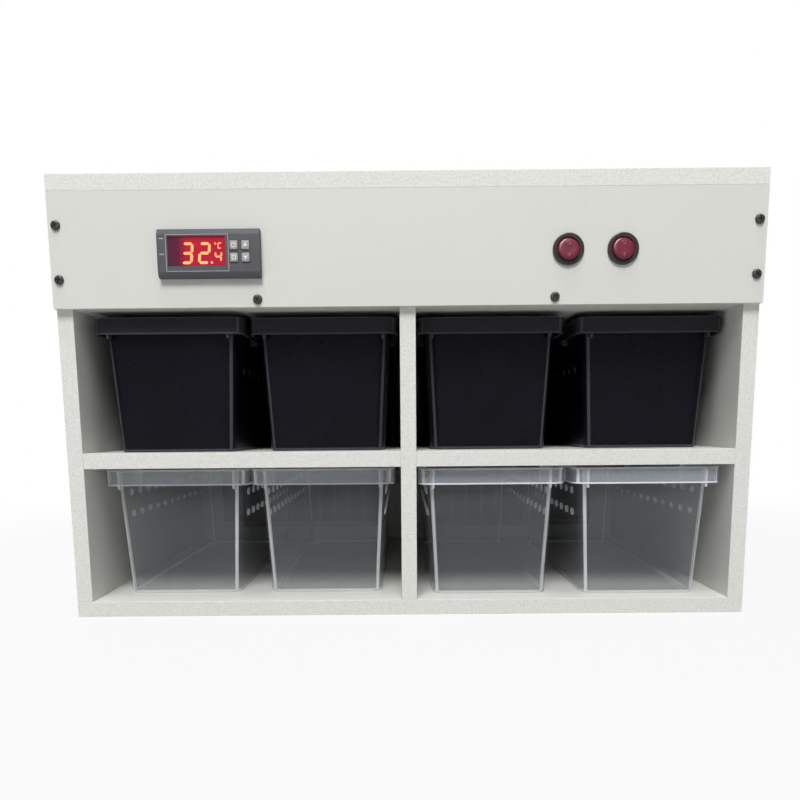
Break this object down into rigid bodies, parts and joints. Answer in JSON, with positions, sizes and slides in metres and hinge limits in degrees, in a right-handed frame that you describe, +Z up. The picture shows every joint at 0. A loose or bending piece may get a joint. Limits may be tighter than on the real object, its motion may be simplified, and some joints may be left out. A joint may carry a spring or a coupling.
{
  "type": "reptile breeding box",
  "caption": "Heated reptile breeding cabinet of white foam board with two rows of pull-out plastic tubs, a panel thermostat and round rocker switches.",
  "frame": {"origin": "middle of the underside of the bottom board", "axes": "+Z up, +X to the right seen from the front, front faces -Y"},
  "size_m": [0.526, 0.3512, 0.3315],
  "materials": {
    "foam_board": "expanded PVC board, satin skin and granular cut edges",
    "clear_tub": "milky translucent polypropylene",
    "smoked_tub": "near-black smoky polypropylene",
    "dark_screw": "blackened steel",
    "heating_film": "black carbon film between clear sheets",
    "lead_insulation": "black flexible insulation",
    "white_nylon": "white moulded nylon",
    "probe_sleeve": "black moulded tip",
    "controller_plastic": "dark grey moulded case with a fine grain",
    "red_window": "dark red transparent window",
    "display_block": "digit block on its board",
    "circuit_board": "green circuit board",
    "orange_clip": "orange nylon",
    "key_plastic": "light grey keys",
    "switch_black": "black-brown glossy bezel",
    "rocker_red": "translucent dark red cap",
    "brass_blade": "plated brass",
    "gland_nylon": "black nylon",
    "seal_rubber": "black rubber"
  },
  "bodies": {
    "cabinet": {"back_panel": "foam_board", "back_panel_screws": "dark_screw", "bay_floor": "foam_board", "bottom_board": "foam_board", "centre_divider": "foam_board", "controller_case": "controller_plastic", "controller_clips": "orange_clip", "controller_display": "display_block", "controller_leads": "lead_insulation", "controller_power_board": "circuit_board", "controller_rear_cover": "controller_plastic", "controller_window": "red_window", "front_panel": "foam_board", "front_panel_screws": "dark_screw", "gland_body": "gland_nylon", "gland_dome_nut": "gland_nylon", "gland_lock_nut": "gland_nylon", "gland_seal": "seal_rubber", "heater_leads": "lead_insulation", "heating_film_lower_left": "heating_film", "heating_film_lower_right": "heating_film", "heating_film_upper_left": "heating_film", "heating_film_upper_right": "heating_film", "probe_clip": "white_nylon", "probe_lead": "lead_insulation", "shelf_left": "foam_board", "shelf_right": "foam_board", "side_board_left": "foam_board", "side_board_right": "foam_board", "switch_blades": "brass_blade", "switch_leads": "lead_insulation", "switch_left_housing": "switch_black", "switch_right_housing": "switch_black", "temperature_probe": "probe_sleeve", "terminal_block": "white_nylon", "top_board": "foam_board"},
    "tub_lower_1": {"tub_lower_1": "clear_tub"},
    "tub_lower_2": {"tub_lower_2": "clear_tub"},
    "tub_lower_3": {"tub_lower_3": "clear_tub"},
    "tub_lower_4": {"tub_lower_4": "clear_tub"},
    "tub_upper_1": {"tub_upper_1": "smoked_tub"},
    "tub_upper_2": {"tub_upper_2": "smoked_tub"},
    "tub_upper_3": {"tub_upper_3": "smoked_tub"},
    "tub_upper_4": {"tub_upper_4": "smoked_tub"},
    "switch_left_rocker": {"switch_left_rocker": "rocker_red"},
    "switch_right_rocker": {"switch_right_rocker": "rocker_red"},
    "key_down": {"key_down": "key_plastic"},
    "key_power": {"key_power": "key_plastic"},
    "key_set": {"key_set": "key_plastic"},
    "key_up": {"key_up": "key_plastic"}
  },
  "joints": [
    {"name": "tub_lower_1_slide", "type": "slide", "parent": "cabinet", "child": "tub_lower_1", "axis": [0, -1, 0], "range_m": [-0.012, 0.24]},
    {"name": "tub_lower_2_slide", "type": "slide", "parent": "cabinet", "child": "tub_lower_2", "axis": [0, -1, 0], "range_m": [-0.012, 0.24]},
    {"name": "tub_lower_3_slide", "type": "slide", "parent": "cabinet", "child": "tub_lower_3", "axis": [0, -1, 0], "range_m": [-0.022, 0.24]},
    {"name": "tub_lower_4_slide", "type": "slide", "parent": "cabinet", "child": "tub_lower_4", "axis": [0, -1, 0], "range_m": [-0.025, 0.24]},
    {"name": "tub_upper_1_slide", "type": "slide", "parent": "cabinet", "child": "tub_upper_1", "axis": [0, -1, 0], "range_m": [-0.021, 0.24]},
    {"name": "tub_upper_2_slide", "type": "slide", "parent": "cabinet", "child": "tub_upper_2", "axis": [0, -1, 0], "range_m": [-0.014, 0.24]},
    {"name": "tub_upper_3_slide", "type": "slide", "parent": "cabinet", "child": "tub_upper_3", "axis": [0, -1, 0], "range_m": [-0.009, 0.24]},
    {"name": "tub_upper_4_slide", "type": "slide", "parent": "cabinet", "child": "tub_upper_4", "axis": [0, -1, 0], "range_m": [-0.005, 0.24]},
    {"name": "switch_left_rock", "type": "hinge", "parent": "cabinet", "child": "switch_left_rocker", "pos_m": [0.118, -0.1645, 0.2755], "axis": [1, 0, 0], "range_deg": [0, 18]},
    {"name": "switch_right_rock", "type": "hinge", "parent": "cabinet", "child": "switch_right_rocker", "pos_m": [0.158, -0.1645, 0.2755], "axis": [1, 0, 0], "range_deg": [0, 18]},
    {"name": "key_down_press", "type": "slide", "parent": "cabinet", "child": "key_down", "axis": [0, 1, 0], "range_m": [0, 0.0005], "stiffness_N_per_m": 400},
    {"name": "key_power_press", "type": "slide", "parent": "cabinet", "child": "key_power", "axis": [0, 1, 0], "range_m": [0, 0.0005], "stiffness_N_per_m": 400},
    {"name": "key_set_press", "type": "slide", "parent": "cabinet", "child": "key_set", "axis": [0, 1, 0], "range_m": [0, 0.0005], "stiffness_N_per_m": 400},
    {"name": "key_up_press", "type": "slide", "parent": "cabinet", "child": "key_up", "axis": [0, 1, 0], "range_m": [0, 0.0005], "stiffness_N_per_m": 400}
  ]
}
